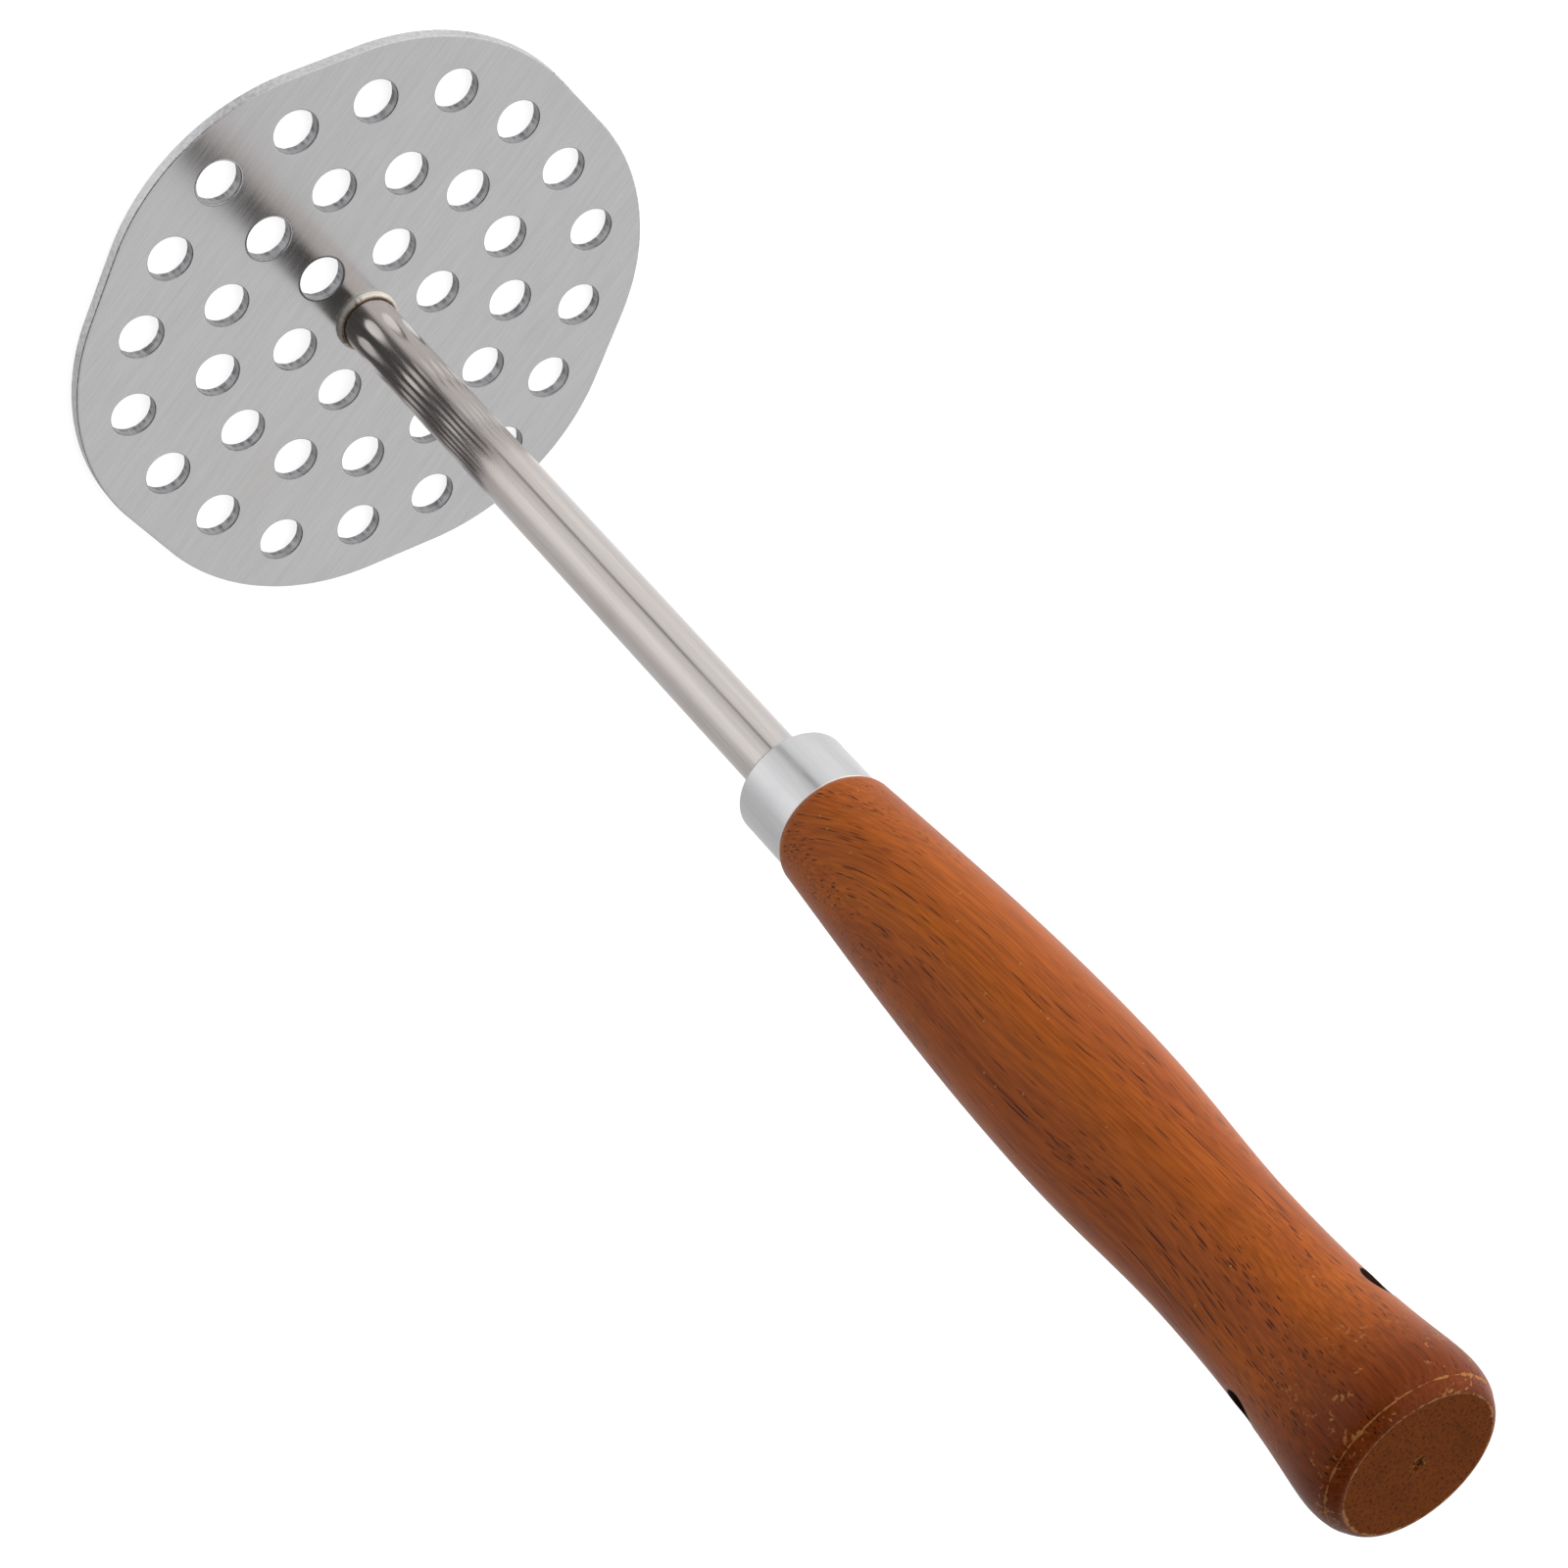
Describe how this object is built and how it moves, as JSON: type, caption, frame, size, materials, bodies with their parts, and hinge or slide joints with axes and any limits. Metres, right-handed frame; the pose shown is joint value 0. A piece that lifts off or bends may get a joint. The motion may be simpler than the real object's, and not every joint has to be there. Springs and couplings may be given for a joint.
{
  "type": "potato masher",
  "caption": "Hand potato masher: a flat punched steel plate welded to a straight steel tube, set through a metal ferrule into a turned wooden handle with a hanging hole.",
  "frame": {"origin": "centre of the plate's working face, the flat face that presses on the food", "axes": "+Z along the tube and handle towards the butt; the hanging hole runs along X, 2.2 mm off the axis towards -Y"},
  "size_m": [0.1046, 0.1072, 0.295],
  "materials": {
    "brushed_stainless": "brushed in one direction",
    "satin_stainless_tube": "satin, drawn lengthwise",
    "heat_tinted_weld": "straw to brown heat tint",
    "satin_aluminium": "satin",
    "stained_hardwood": "reddish-brown stain under a thin satin varnish"
  },
  "bodies": {
    "root": {"plate": "brushed_stainless", "shaft_tube": "satin_stainless_tube", "weld_bead": "heat_tinted_weld", "ferrule": "satin_aluminium", "handle": "stained_hardwood"}
  },
  "joints": []
}
